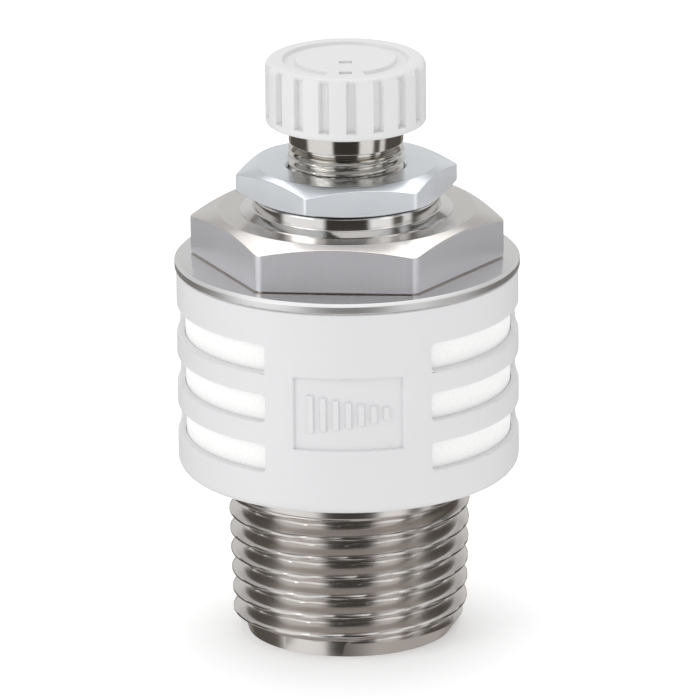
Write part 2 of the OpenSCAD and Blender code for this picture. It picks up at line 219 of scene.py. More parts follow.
def screw_thread():
    """Cuts a right-hand thread into a turned piece. Sizes are in metres; taper is radius over height."""
    group, tree, given = geometry_tree("screw thread", [
        "Pitch", "Depth", "Crest radius", "Crest height", "Taper", "Bottom", "Top", "Run out",
        "Crest width"])
    place = tree.add("GeometryNodeInputPosition")
    xyz = tree.add("ShaderNodeSeparateXYZ", inputs={0: place})
    x, y, z = xyz["X"], xyz["Y"], xyz["Z"]
    radius = (x * x + y * y).math("SQRT")
    turn = y.math("ARCTAN2", x) / (2 * pi)
    along = (z - given["Crest height"]) / given["Pitch"] - turn
    # 0 on a crest, 1 in the middle of a root
    saw = (along - along.math("FLOOR")) * 2 - 1
    height = 1 - saw.math("ABSOLUTE")
    flank = ((height - given["Crest width"]) / (1 - 2 * given["Crest width"])).math("ADD", 0, clamp=True)
    soft = flank * flank * (3 - 2 * flank)
    cut = flank * 0.55 + soft * 0.45
    above = ((z - given["Bottom"]) / given["Run out"]).math("ADD", 0, clamp=True)
    below = ((given["Top"] - z) / given["Run out"]).math("ADD", 0, clamp=True)
    crest = given["Crest radius"] + z * given["Taper"]
    threaded = crest - given["Depth"] * cut * above * below
    lower = radius.math("MINIMUM", threaded)
    inside = z.math("GREATER_THAN", given["Bottom"]) * z.math("LESS_THAN", given["Top"])
    outer = radius.math("GREATER_THAN", threaded - given["Depth"] * 1.2)
    scale = 1 + (lower / radius - 1) * inside * outer
    moved = tree.add("ShaderNodeCombineXYZ", inputs={0: x * scale, 1: y * scale, 2: z})
    shaped = tree.add("GeometryNodeSetPosition", inputs={"Geometry": given["Geometry"], "Position": moved})
    close_tree(tree, given, shaped)
    return group


def round_holes():
    """Drills a ring of radial holes through a piece."""
    group, tree, given = geometry_tree("round holes", ["Count", "Height", "Radius", "Reach"])
    spots = tree.add("GeometryNodeMeshCircle", inputs={
        "Vertices": given["Count"], "Radius": given["Reach"]})
    drill = tree.add("GeometryNodeMeshCylinder", inputs={
        "Vertices": 32, "Radius": given["Radius"], "Depth": given["Reach"]})
    tangent = tree.add("GeometryNodeInputPosition")
    turned = tree.add("FunctionNodeAlignRotationToVector", {"axis": "Z"}, {"Vector": tangent})
    drills = tree.add("GeometryNodeInstanceOnPoints", inputs={
        "Points": spots, "Instance": drill, "Rotation": turned})
    lift = tree.add("ShaderNodeCombineXYZ", inputs={2: given["Height"]})
    raised = tree.add("GeometryNodeTransform", inputs={"Geometry": drills, "Translation": lift})
    half_step = tree.add("ShaderNodeCombineXYZ", inputs={2: pi / given["Count"]})
    raised = tree.add("GeometryNodeTransform", inputs={"Geometry": raised, "Rotation": half_step})
    solid = tree.add("GeometryNodeRealizeInstances", inputs={"Geometry": raised})
    bored = tree.add("GeometryNodeMeshBoolean", {"operation": "DIFFERENCE", "solver": "EXACT"},
                     {"Mesh 1": given["Geometry"], "Mesh 2": solid})
    close_tree(tree, given, bored)
    return group


def finish(name, colour, roughness, metallic=0.0, specular=0.5):
    """A new material: its tree, its shader, and where a point is on the piece, in millimetres."""
    material = bpy.data.materials.new(name)
    material.use_nodes = True
    material.node_tree.nodes.clear()
    tree = Tree(material.node_tree)
    shader = tree.add("ShaderNodeBsdfPrincipled", inputs={
        "Base Color": (*colour, 1), "Roughness": roughness, "Metallic": metallic,
        "Specular IOR Level": specular})
    tree.add("ShaderNodeOutputMaterial", inputs={"Surface": shader})
    spot = tree.add("ShaderNodeTexCoord")["Object"]
    where = tree.add("ShaderNodeVectorMath", {"operation": "SCALE"}, {0: spot, "Scale": 1 / MM})
    return material, tree, shader.socket.node, where


def feed(tree, node, socket, value):
    tree.tree.links.new(value.socket, node.inputs[socket])


def noise(tree, where, size, detail=2.0):
    """Soft noise whose grains are about that many millimetres across, from 0 to 1."""
    return tree.add("ShaderNodeTexNoise", inputs={"Vector": where, "Scale": 1 / size, "Detail": detail})


def blend(tree, amount, first, second):
    """The first colour at 0, the second at 1, and a mix between."""
    mixed = tree.add("ShaderNodeMix", {"data_type": "RGBA"}, {"Factor": amount, 6: first, 7: second})
    return Value(tree, mixed.socket.node.outputs[2])


def tint(tree, shader, amount, light, dark):
    """Mixes two colours into Base Color by a value from 0 to 1."""
    feed(tree, shader, "Base Color", blend(tree, amount, (*dark, 1), (*light, 1)))


def relief(tree, shader, height, strength, depth):
    """Feeds the normal from a height that is so many millimetres deep."""
    bump = tree.add("ShaderNodeBump", inputs={
        "Strength": strength, "Distance": depth * MM, "Height": height})
    feed(tree, shader, "Normal", bump)


def turning_marks(tree, where, size):
    """Fine rings left by a lathe tool: noise that changes only along the piece or outwards."""
    xyz = tree.add("ShaderNodeSeparateXYZ", inputs={0: where})
    radius = (xyz["X"] * xyz["X"] + xyz["Y"] * xyz["Y"]).math("SQRT")
    track = tree.add("ShaderNodeCombineXYZ", inputs={0: radius, 2: xyz["Z"]})
    return noise(tree, track, size)


def turned_metal(name, light, dark, roughness, mark_size, mark_depth):
    """Turned and plated metal: fine rings, and plating that varies a little over the surface."""
    material, tree, shader, where = finish(name, light, roughness, metallic=1.0)
    marks = turning_marks(tree, where, mark_size)
    cloud = noise(tree, where, 4.0, detail=3.0)
    tint(tree, shader, cloud * 0.7 + marks * 0.3, light, dark)
    feed(tree, shader, "Roughness", roughness + (marks - 0.5) * 0.10 + (cloud - 0.5) * 0.08)
    relief(tree, shader, marks, 0.35, mark_depth)
    return material


def milled_metal(name, light, dark, roughness, metallic=1.0):
    """Flats with a fine even grain and faint streaks. Satin plating scatters light, so is less metallic."""
    material, tree, shader, where = finish(name, light, roughness, metallic=metallic)
    grain = noise(tree, where, 0.11, detail=3.0)
    stretched = tree.add("ShaderNodeMapping", inputs={"Vector": where, "Scale": (2.2, 2.2, 0.16)})
    streak = noise(tree, stretched, 0.5, detail=3.0)
    cloud = noise(tree, where, 3.0, detail=2.0)
    tint(tree, shader, grain * 0.35 + streak * 0.35 + cloud * 0.3, light, dark)
    feed(tree, shader, "Roughness", roughness + (grain - 0.5) * 0.12 + (streak - 0.5) * 0.08)
    relief(tree, shader, grain * 0.6 + streak * 0.4, 0.4, 0.004)
    return material


# Radii, and heights above the nipple's lower end, in millimetres
nipple_top = 13.1
lead_top = 1.25
lead_below_root = 0.1
row_h = 0.09
collar_r = 10.70
collar_lead = 0.15
collar_top = 15.4
ring_groove_r = 9.9
floor_z = 16.3
plenum_r = 9.8
plenum_z = 18.10
plenum_top = 31.75
# The hexagon: its corners are turned down and its upper edge is chamfered
hex_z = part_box("end_plate")[1].z / MM
hex_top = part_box("valve_body")[1].z / MM
hex_half_af = 12.0
hex_edge_r = 13.70
hex_face_r = 11.25
chamfer_slope = tan(radians(20))
hex_turn = -4.6
hex_lower_edge = 0.2
flats_inner_r = 11.5
# The passage, from the inlet up to the needle guide's pocket and its seal
seal_seat_w = 0.95
seal_seat_h = 0.95
inlet_r = 7.0
inlet_edge = 0.4
seat_wall_z = 16.5
seat_r = 4.2
seat_z = 19.0
chamber_r = 6.4
pocket_z = 25.5
pocket_r = 7.05
port_z = 22.75
port_r = 2.2
port_count = 6
drill_length = 8.2
# The nipple's tapered pipe thread
thread_pitch = 1.814
thread_depth = 1.162
thread_taper = 1 / 32
thread_base_r = 20.955 / 2 - 8.2 * thread_taper
first_crest_z = 2.3 + thread_pitch / 4


def hex_radius(angle, half_af, edge_r, turn, softness=0.045):
    """Distance from the axis to a hexagon whose corners are turned down to a radius, with soft edges."""
    from_flat = (angle - turn) % 60 - 30
    flat_r = half_af / cos(radians(from_flat))
    return edge_r - softness * log(1 + exp((edge_r - flat_r) / softness))


def hex_angles(turn):
    """Columns for a hexagon, closer together at its corners."""
    near_corner = [-8, -6, -4.5, -3.5, -2.8, -2.2, -1.7, -1.2, -0.6]
    near_corner += [0] + [-a for a in reversed(near_corner)]
    steps = even(-30, -8, 2.2) + near_corner + even(8, 30, 2.2)
    return [turn + 60 * side + step for side in range(6) for step in steps]


def valve_body_outline(angle):
    r = hex_radius(angle, hex_half_af, hex_edge_r, hex_turn)
    chamfer_z = hex_top - (r - hex_face_r) * chamfer_slope
    seal_seat_r = pocket_r + seal_seat_w
    seal_seat_z = hex_top - seal_seat_h
    rows = [(thread_base_r - thread_depth - lead_below_root, 0, 0.12),
            (thread_base_r + lead_top * thread_taper, lead_top)]
    rows += [(thread_base_r + z * thread_taper, z) for z in even(lead_top + row_h, nipple_top, row_h)]
    rows += [
        (collar_r - 0.1, nipple_top), (collar_r, nipple_top + collar_lead), (collar_r, collar_top, 0.1),
        (ring_groove_r, collar_top), (ring_groove_r, floor_z), (collar_r, floor_z, 0.1),
        (collar_r, plenum_z, 0.1), (plenum_r, plenum_z, 0.2), (plenum_r, plenum_top, 0.2),
        (collar_r, plenum_top, 0.1), (collar_r, hex_z), (r - hex_lower_edge, hex_z),
        (r, hex_z + 0.15, 0.05), (r, chamfer_z, 0.12), (hex_face_r, hex_top, 0.12),
        (seal_seat_r, hex_top), (seal_seat_r, seal_seat_z), (pocket_r, seal_seat_z),
        (pocket_r, pocket_z), (chamber_r, pocket_z, 0.1), (chamber_r, seat_z, 0.3),
        (seat_r, seat_z, 0.06), (seat_r, seat_wall_z, 0.2), (inlet_r, seat_wall_z, 0.3),
        (inlet_r, inlet_edge), (inlet_r + inlet_edge, 0)]
    return rounded(rows)


body_angles = hex_angles(hex_turn)
valve_body = revolved("valve_body_plated", valve_body_outline, body_angles)
nickel = turned_metal("nickel_turned", (0.76, 0.735, 0.715), (0.64, 0.61, 0.585), 0.22, 0.10, 0.002)
nickel_flats = milled_metal("nickel_milled", (0.72, 0.715, 0.75), (0.61, 0.61, 0.645), 0.40, metallic=0.55)
thread_tree = screw_thread()
grow(valve_body, thread_tree, Pitch=thread_pitch * MM, Depth=thread_depth * MM,
     Crest_radius=thread_base_r * MM, Crest_height=first_crest_z * MM, Taper=thread_taper,
     Bottom=-0.5 * MM, Top=(nipple_top + 0.1) * MM, Run_out=0.5 * MM, Crest_width=0.10, Material=nickel)
grow(valve_body, round_holes(), Count=port_count, Height=port_z * MM, Radius=port_r * MM,
     Reach=drill_length * MM, Material=nickel)
settle(valve_body)
valve_body.data.materials.append(nickel_flats)
for face in valve_body.data.polygons:
    outside = face.center.z > (hex_z + 0.02) * MM and face.center.xy.length > flats_inner_r * MM
    if outside and abs(face.normal.z) < 0.3:
        face.material_index = 1
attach(valve_body, "housing")
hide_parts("valve_body")

# ---------------------------------------------------------------- gaskets, support tube and sleeves
# The silencer's stack: a flat rubber ring at each end, a perforated tube, a coarse sleeve and the
# fine white sleeve that shows in the windows. They slide over the barrel from below.


def rubber(name, colour):
    """Black rubber with a fine dusty grain."""
    material, tree, shader, where = finish(name, colour, 0.6)
    grain = noise(tree, where, 0.2, detail=3.0)
    tint(tree, shader, grain, tuple(1.6 * c for c in colour), colour)
    feed(tree, shader, "Roughness", 0.5 + grain * 0.25)
    relief(tree, shader, grain, 0.3, 0.01)
    return material


def porous(name, light, dark, grain_size, depth):
    """A bonded porous wall: pale grains with darker pores between them."""
    material, tree, shader, where = finish(name, light, 0.85, specular=0.2)
    cells = tree.add("ShaderNodeTexVoronoi", {"feature": "F1"}, {"Vector": where, "Scale": 1 / grain_size})
    grains = 1 - cells["Distance"].math("ADD", 0, clamp=True)
    fluff = noise(tree, where, grain_size * 0.5, detail=4.0)
    body = (grains * 0.7 + fluff * 0.5).math("ADD", 0, clamp=True)
    tint(tree, shader, body, light, dark)
    feed(tree, shader, "Roughness", 0.95 - body * 0.15)
    relief(tree, shader, body, 0.5, depth)
    return material


def wear(node, material):
    """Gives a CAD node its finish."""
    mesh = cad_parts[node].data
    mesh.materials.clear()
    mesh.materials.append(material)


gasket_rubber = rubber("gasket_rubber", (0.030, 0.030, 0.032))
wear("upper_gasket", gasket_rubber)
wear("lower_gasket", gasket_rubber)
wear("sleeve_support_tube",
     milled_metal("support_tube_steel", (0.56, 0.58, 0.60), (0.42, 0.43, 0.45), 0.38))
wear("inner_sleeve", porous("coarse_sleeve", (0.82, 0.82, 0.78), (0.52, 0.52, 0.48), 0.55, 0.10))
wear("outer_sleeve", porous("fine_sleeve", (0.93, 0.93, 0.925), (0.86, 0.86, 0.85), 0.26, 0.015))

# ---------------------------------------------------------------- silencer cover
# A light grey moulding: a tube with three rows of windows, a floor that rests on the retaining ring,
# and a recessed panel at the front with raised bars. It slides on from below.

front = -90
cover_low, cover_high = (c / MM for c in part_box("silencer_cover"))
cover_r = cover_high.x
cover_wall = 0.7
cover_in_r = cover_r - cover_wall
cover_z = cover_low.z
cover_top = cover_high.z
cover_floor_z = 17.45
pilot_hole_r = 10.75
recess_r = 12.1
base_round = 1.3
sleeve_low, sleeve_high = (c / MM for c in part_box("outer_sleeve"))
# The windows, in millimetres along the cover and degrees round it
window_drop = 1.2
window_mid = (sleeve_low.z + sleeve_high.z) / 2 - window_drop
window_h = 2.5
window_pitch = 4.5
window_columns = 4
window_from_front = 29
post_angle = 6
window_angle = (360 - 2 * window_from_front - (window_columns - 1) * post_angle) / window_columns
window_corner = 0.45
window_edge = 0.12
window_mids = [window_mid + row * window_pitch for row in (-1, 0, 1)]
window_starts = [front + window_from_front + i * (window_angle + post_angle) for i in range(window_columns)]
# The recessed panel at the front
panel_half_angle = 18.7
panel_drop = 0.1
panel_mid = window_mid - panel_drop
panel_h = 6.5
panel_depth = 0.3
wall_draft = 0.25
panel_low = panel_mid - panel_h / 2
panel_high = panel_mid + panel_h / 2


def arc(r, z, radius, start, end, steps=8):
    """Points of an arc in an outline, between two angles from the outward direction."""
    turns = [radians(start + (end - start) * i / steps) for i in range(steps + 1)]
    return [(r + radius * cos(a), z + radius * sin(a)) for a in turns]


def step_list(stops, step):
    """Every stop, with even steps of about that size between them."""
    out = []
    for start, end in zip(stops, stops[1:]):
        out += even(start, end, step)
    return out + [stops[-1]]


cover_stops = sorted({a % 360 for start in window_starts for a in (start, start + window_angle)}
                     | {(front + side * (panel_half_angle - inset)) % 360
                        for side in (-1, 1) for inset in (0, wall_draft)})
cover_angles = step_list(cover_stops + [cover_stops[0] + 360], 3)[:-1]
wall_levels = sorted({cover_floor_z + 0.3, cover_top - 0.15}
                     | {z + side * window_h / 2 for z in window_mids for side in (-1, 1)}
                     | {panel_low, panel_low + wall_draft / 4, panel_high - wall_draft / 4, panel_high})


def cover_outline(angle):
    off = abs((angle - front + 180) % 360 - 180)
    sunk_side = min(max((panel_half_angle - off) / wall_draft, 0), 1)
    rows = [(recess_r, cover_z, 0.15), *arc(cover_r - base_round, cover_z + base_round, base_round, -90, 0)]
    for z in wall_levels:
        deep = sunk_side if panel_low + 0.01 < z < panel_high - 0.01 else 0
        rows.append((cover_r - panel_depth * deep, z))
    rows += [(cover_r - 0.15, cover_top), (cover_in_r, cover_top)]
    rows += [(cover_in_r, z) for z in reversed(wall_levels) if z > cover_floor_z]
    rows += [(cover_in_r, cover_floor_z), (pilot_hole_r, cover_floor_z), (pilot_hole_r, floor_z),
             (recess_r, floor_z)]
    return rounded(rows, steps=6)


def put_in_order(mesh):
    """Sorts corners and faces by place alone, so that each run gives the same mesh."""
    places = [tuple(v.co) for v in mesh.vertices]
    order = sorted(range(len(places)), key=lambda i: places[i])
    rank = {old: new for new, old in enumerate(order)}
    faces = []
    for face in mesh.polygons:
        ring = [rank[i] for i in face.vertices]
        first = ring.index(min(ring))
        faces.append(ring[first:] + ring[:first])
    mesh.clear_geometry()
    mesh.from_pydata([places[i] for i in order], [], sorted(faces))


def cut_windows(piece):
    """Opens the windows: drops their outer and inner faces and joins the two rims."""
    bm = bmesh.new()
    bm.from_mesh(piece.data)

    def window_of(face):
        c = face.calc_center_median() / MM
        if not cover_in_r - 0.2 < c.xy.length < cover_r + 0.2 or c.z < cover_floor_z:
            return None
        angle = degrees(atan2(c.y, c.x))
        for row, z in enumerate(window_mids):
            if abs(c.z - z) < window_h / 2 - 0.01:
                for start in window_starts:
                    if (angle - start) % 360 < window_angle:
                        return row, start
        return None

    gone = {}
    for face in bm.faces:
        key = window_of(face)
        if key:
            gone.setdefault(key, []).append(face)
    rims = []
    for faces in gone.values():
        inside = set(faces)
        rims.append([e for f in faces for e in f.edges if sum(g in inside for g in e.link_faces) == 1])
    bmesh.ops.delete(bm, geom=[f for faces in gone.values() for f in faces], context="FACES_ONLY")
    for rim in rims:
        bmesh.ops.bridge_loops(bm, edges=rim)
    corners = []
    for edge in bm.edges:
        a, b = (v.co.xy.length / MM for v in edge.verts)
        if abs(abs(a - b) - cover_wall) > 0.05 or len(edge.link_faces) != 2:
            continue
        if edge.calc_face_angle(0) > radians(60):
            corners.append(edge)
    bmesh.ops.bevel(bm, geom=corners, offset=window_corner * MM, segments=5, profile=0.5, affect="EDGES")
    outer = [e for e in bm.edges if len(e.link_faces) == 2 and e.calc_face_angle(0) > radians(60)
             and min(v.co.xy.length for v in e.verts) > (cover_r - 0.02) * MM
             and cover_floor_z * MM < min(v.co.z for v in e.verts)
             and max(v.co.z for v in e.verts) < (cover_top - 1) * MM]
    bmesh.ops.bevel(bm, geom=outer, offset=window_edge * MM, segments=3, profile=0.5, affect="EDGES",
                    clamp_overlap=False)
    loose = [v for v in bm.verts if not v.link_faces]
    bmesh.ops.delete(bm, geom=loose, context="VERTS")
    bmesh.ops.recalc_face_normals(bm, faces=bm.faces)
    bm.to_mesh(piece.data)
    bm.free()
    put_in_order(piece.data)


def moulded(name, light, dark, roughness, grain_size):
    """Moulded plastic with a fine satin texture and a slight change of shade over the piece."""
    material, tree, shader, where = finish(name, light, roughness, specular=0.45)
    grain = noise(tree, where, grain_size, detail=3.0)
    cloud = noise(tree, where, 6.0, detail=2.0)
    tint(tree, shader, grain * 0.4 + cloud * 0.6, light, dark)
    feed(tree, shader, "Roughness", roughness + (grain - 0.5) * 0.16 + (cloud - 0.5) * 0.08)
    relief(tree, shader, grain, 0.3, 0.006)
    return material


def soften(piece, width, segments=2, limit=30):
    """A small rounded edge on every sharp corner."""
    bevel = piece.modifiers.new("edge", "BEVEL")
    bevel.width = width * MM
    bevel.segments = segments
    bevel.limit_method = "ANGLE"
    bevel.angle_limit = radians(limit)


def join(main, others):
    """Adds the meshes of other pieces to one piece."""
    bm = bmesh.new()
    for piece in [main, *others]:
        bm.from_mesh(piece.data)
    bm.to_mesh(main.data)
    bm.free()
    for piece in others:
        bpy.data.objects.remove(piece)


bar_count = 7
bar_pitch = 4.3
bar_half_angle = 1.18
bar_proud = 0.2
bar_draft = 0.3


def raised_bar(i):
    """One upright bar of the panel's mark; the bars fade in height from left to right."""
    half = panel_h * (0.56 - 0.34 * i / (bar_count - 1)) / 2
    middle = front + (i - (bar_count - 1) / 2) * bar_pitch
    floor_r = cover_r - panel_depth
    bm = bmesh.new()
    grid = []
    for side in (-1, 0, 1):
        section = []
        for end, r, inset in ((-1, floor_r - 0.1, 0), (-1, floor_r + bar_proud, bar_draft),
                              (1, floor_r + bar_proud, bar_draft), (1, floor_r - 0.1, 0)):
            a = radians(middle + side * (bar_half_angle - inset))
            z = panel_mid + end * (half - inset / 2)
            section.append(bm.verts.new(Vector((cos(a) * r, sin(a) * r, z)) * MM))
        grid.append(section)
    for left, right in zip(grid, grid[1:]):
        for k in range(4):
            n = (k + 1) % 4
            bm.faces.new((left[k], right[k], right[n], left[n]))
    bm.faces.new(reversed(grid[0]))
    bm.faces.new(grid[-1])
    bmesh.ops.recalc_face_normals(bm, faces=bm.faces)
    mesh = bpy.data.meshes.new("bar")
    bm.to_mesh(mesh)
    bm.free()
    return bpy.data.objects.new("bar", mesh)


cover = revolved("silencer_cover_moulded", cover_outline, cover_angles)
cut_windows(cover)
join(cover, [raised_bar(i) for i in range(bar_count)])
soften(cover, 0.05)
cover.data.materials.append(moulded("cover_plastic", (0.715, 0.715, 0.725), (0.69, 0.69, 0.70), 0.42, 0.12))
settle(cover)
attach(cover, "housing")
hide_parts("silencer_cover")

# ---------------------------------------------------------------- retaining ring
# A spring ring snapped into the collar's groove. It holds the cover and the whole stack up, and is
# blackened spring steel.

wear("retaining_ring", milled_metal("spring_steel", (0.30, 0.31, 0.33), (0.20, 0.20, 0.22), 0.35))

# ---------------------------------------------------------------- end plate
# A round plate of bright rolled stainless steel between the hexagon and the cover, with a rounded edge.

plate_r = -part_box("end_plate")[0].x / MM
plate_lower_edge = 0.12
plate_upper_edge = 0.25


def end_plate_outline(angle):
    return rounded([
        (pilot_hole_r, cover_top), (plate_r - plate_lower_edge, cover_top),
        (plate_r, cover_top + plate_lower_edge), (plate_r, hex_z - plate_upper_edge, 0.1),
        (plate_r - plate_upper_edge, hex_z, 0.1), (pilot_hole_r, hex_z)])


round_angles = even(0, 360, 2.5)
end_plate = revolved("end_plate_bright", end_plate_outline, round_angles)
end_plate.data.materials.append(
    turned_metal("bright_plate", (0.78, 0.775, 0.77), (0.72, 0.715, 0.71), 0.10, 0.25, 0.0008))
# The rim is a lighter, rougher copy of the plate's finish: its lighter colour is a painted reflection of
# the pale floor that the upright edge faces.
end_plate.data.materials.append(
    turned_metal("plate_rim_painted_reflection", (0.88, 0.88, 0.88), (0.82, 0.82, 0.82), 0.42, 0.12, 0.003))
for face in end_plate.data.polygons:
    if abs(face.normal.z) < 0.9 and face.center.xy.length > (plate_r - 1) * MM:
        face.material_index = 1
smooth_by_angle(end_plate.data)
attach(end_plate, "housing")
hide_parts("end_plate")

# ---------------------------------------------------------------- needle guide and its seal
# Turned brass, bright nickel, screwed into the valve body over an O-ring. Only its boss and the thin
# foot ring show above the hexagon; the needle's thread and sealing bore are inside it.

boss_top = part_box("lock_nut")[0].z / MM
boss_r = 8.2
foot_edge = 0.06
foot_h = 0.32
bore_lead = 0.3
boss_foot_r = 9.3
spigot_r = 7.0
spigot_z = 25.8
land_bore_r = 5.5
stop_z = boss_top - 4.85
thread_bore_r = 5.10


def needle_guide_outline(angle):
    return rounded([
        (land_bore_r, spigot_z, 0.15), (spigot_r, spigot_z, 0.2), (spigot_r, hex_top),
        (boss_foot_r, hex_top), (boss_foot_r, hex_top + foot_edge), (boss_r, hex_top + foot_h, 0.15),
        (boss_r, boss_top, 0.22), (thread_bore_r + bore_lead, boss_top),
        (thread_bore_r, boss_top - bore_lead), (thread_bore_r, stop_z), (land_bore_r, stop_z)])


needle_guide = revolved("needle_guide_bright", needle_guide_outline, round_angles)
needle_guide.data.materials.append(
    turned_metal("nickel_bright", (0.76, 0.75, 0.74), (0.68, 0.67, 0.65), 0.10, 0.12, 0.0015))
smooth_by_angle(needle_guide.data)
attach(needle_guide, "housing")
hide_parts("needle_guide")
seal_rubber = rubber("seal_rubber", (0.022, 0.022, 0.023))
wear("guide_o_ring", seal_rubber)
wear("needle_o_ring", seal_rubber)

# ---------------------------------------------------------------- needle
# One turned brass pin, nickel plated: metering cone, sealing land with its O-ring groove, fine
# adjusting thread, and the neck and collar under the knob.

needle_low, needle_top = (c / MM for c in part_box("needle"))
knob_low, knob_high = (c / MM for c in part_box("knob"))
knob_z = knob_low.z
tip_z = needle_low.z
# Metering cone, and the land that carries the O-ring
cone_tip_r = 3.2
cone_top_r = 4.9
cone_slope = 0.35
cone_top_z = tip_z + (cone_top_r - cone_tip_r) / cone_slope
land_r = 5.45
land_z = cone_top_z + 1.2
land_top = boss_top - 6.4
seal_z = land_top - 3.03
seal_groove_r = 4.2
seal_groove_half = 0.8
# Adjusting thread, neck and collar
relief_r = 4.4
needle_r = 5.05
needle_thread_depth = 0.46
needle_row_h = 0.05
needle_pitch = 0.75
needle_thread_z = land_top + 0.8
stem_collar_r = needle_r - 0.05
stem_collar_z = knob_z - 1.75
needle_thread_top = stem_collar_z - 0.4
stem_end_r = 3.5


def needle_outline(angle):
    rows = [
        (0, tip_z), (cone_tip_r, tip_z, 0.15), (cone_top_r, cone_top_z, 0.4), (cone_top_r, land_z - 0.3),
        (land_r, land_z, 0.1), (land_r, seal_z - seal_groove_half, 0.05),
        (seal_groove_r, seal_z - seal_groove_half, 0.1), (seal_groove_r, seal_z + seal_groove_half, 0.1),
        (land_r, seal_z + seal_groove_half, 0.05), (land_r, land_top, 0.1), (relief_r, land_top, 0.1),
        (relief_r, needle_thread_z)]
    rows += [(needle_r, z) for z in even(needle_thread_z + 0.3, needle_thread_top - 0.1, needle_row_h)]
    rows += [
        (relief_r, needle_thread_top, 0.08), (relief_r, stem_collar_z - 0.15, 0.08),
        (stem_collar_r, stem_collar_z, 0.08), (stem_collar_r, knob_z, 0.08), (stem_end_r, knob_z),
        (stem_end_r, needle_top.z, 0.3), (0, needle_top.z)]
    return rounded(rows)


needle = revolved("needle_plated", needle_outline, round_angles, loop=False)
needle_metal = turned_metal("needle_nickel", (0.72, 0.70, 0.67), (0.62, 0.60, 0.56), 0.12, 0.09, 0.002)
grow(needle, thread_tree, Pitch=needle_pitch * MM, Depth=needle_thread_depth * MM,
     Crest_radius=needle_r * MM, Crest_height=(needle_thread_top - 0.45) * MM, Taper=0.0,
     Bottom=(needle_thread_z + 0.2) * MM, Top=(needle_thread_top - 0.1) * MM, Run_out=0.25 * MM,
     Crest_width=0.10, Material=needle_metal)
settle(needle)
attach(needle, "spindle")
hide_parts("needle")

# ---------------------------------------------------------------- lock nut
# A thin steel nut, chamfered on both faces and zinc plated with a faint blue tint. It screws down the
# needle's thread onto the guide's boss.

nut_low, nut_high = (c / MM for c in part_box("lock_nut"))
nut_z, nut_top = nut_low.z, nut_high.z
nut_half_af = 8.5
nut_edge_r = 9.76
nut_turn = 8.5
nut_face_r = 7.8
nut_lead = 0.38


def lock_nut_outline(angle):
    r = hex_radius(angle, nut_half_af, nut_edge_r, nut_turn)
    drop = (r - nut_face_r) * chamfer_slope
    return rounded([
        (thread_bore_r + nut_lead, nut_z), (nut_face_r, nut_z, 0.15), (r, nut_z + drop, 0.1),
        (r, nut_top - drop, 0.1), (nut_face_r, nut_top, 0.15), (thread_bore_r + nut_lead, nut_top, 0.06),
        (thread_bore_r, nut_top - nut_lead), (thread_bore_r, nut_z + nut_lead)])


def zinc_plate(name, roughness, metallic=1.0):
    """Bright zinc with a blue passivation that drifts a little in hue."""
    light, dark = (0.90, 0.93, 0.96), (0.79, 0.83, 0.88)
    material, tree, shader, where = finish(name, light, roughness, metallic=metallic)
    drift = noise(tree, where, 2.5, detail=4.0)
    grain = noise(tree, where, 0.16, detail=3.0)
    marks = turning_marks(tree, where, 0.14)
    tint(tree, shader, drift * 0.7 + grain * 0.3, light, dark)
    feed(tree, shader, "Roughness", roughness + (drift - 0.5) * 0.12 + (grain - 0.5) * 0.1)
    relief(tree, shader, grain * 0.6 + marks * 0.4, 0.35, 0.003)
    return material


lock_nut = revolved("lock_nut_zinc", lock_nut_outline, hex_angles(nut_turn))
lock_nut.data.materials.append(zinc_plate("zinc_steel", 0.22))
lock_nut.data.materials.append(zinc_plate("zinc_steel_flats", 0.34, metallic=0.42))
for face in lock_nut.data.polygons:
    if abs(face.normal.z) < 0.2 and face.center.xy.length > (nut_half_af - 0.5) * MM:
        face.material_index = 1
smooth_by_angle(lock_nut.data)
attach(lock_nut, "nut")
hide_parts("lock_nut")

# ---------------------------------------------------------------- knob
# A white moulding pressed onto the needle's end: grip flutes round it, a shallow ring channel on top
# that a bridge crosses at the front, and two short index marks.

knob_top = knob_high.z
knob_r = knob_high.x
# Grip flutes
flute_count = 18
flute_turn = 4
flute_w = 0.97
flute_half = degrees(asin(flute_w / 2 / knob_r))
flute_depth = 0.5
flute_draft = 1.4
flute_z = knob_z + 0.7
flute_slope = 0.1
top_round = 0.6
# Ring channel on top, and the bridge that crosses it
rim_w = 1.5
channel_w = 1.15
channel_out_r = knob_r - rim_w
channel_in_r = channel_out_r - channel_w
channel_depth = 0.32
channel_draft = 0.10
bridge_half_w = 1.55
bridge_half = degrees(asin(bridge_half_w / (knob_r - 2.1)))
bridge_draft = 1.2
# Hollow underside, and the hole for the needle's end
core_r = channel_in_r + 0.35
rim_in_r = knob_r - 1.4
recess_z = knob_z + 1.8
stem_hole_top = knob_z + 4.0


def fluted(angle):
    """1 on the floor of a flute, 0 on the lands between flutes."""
    off = abs((angle - front - flute_turn + 180 / flute_count) % (360 / flute_count) - 180 / flute_count)
    return min(max((flute_half - off) / flute_draft, 0), 1)


def bridged(angle):
    """1 on the bridge over the ring channel, 0 along the channel."""
    off = abs((angle - front + 180) % 360 - 180)
    return min(max((bridge_half - off) / bridge_draft + 1, 0), 1)


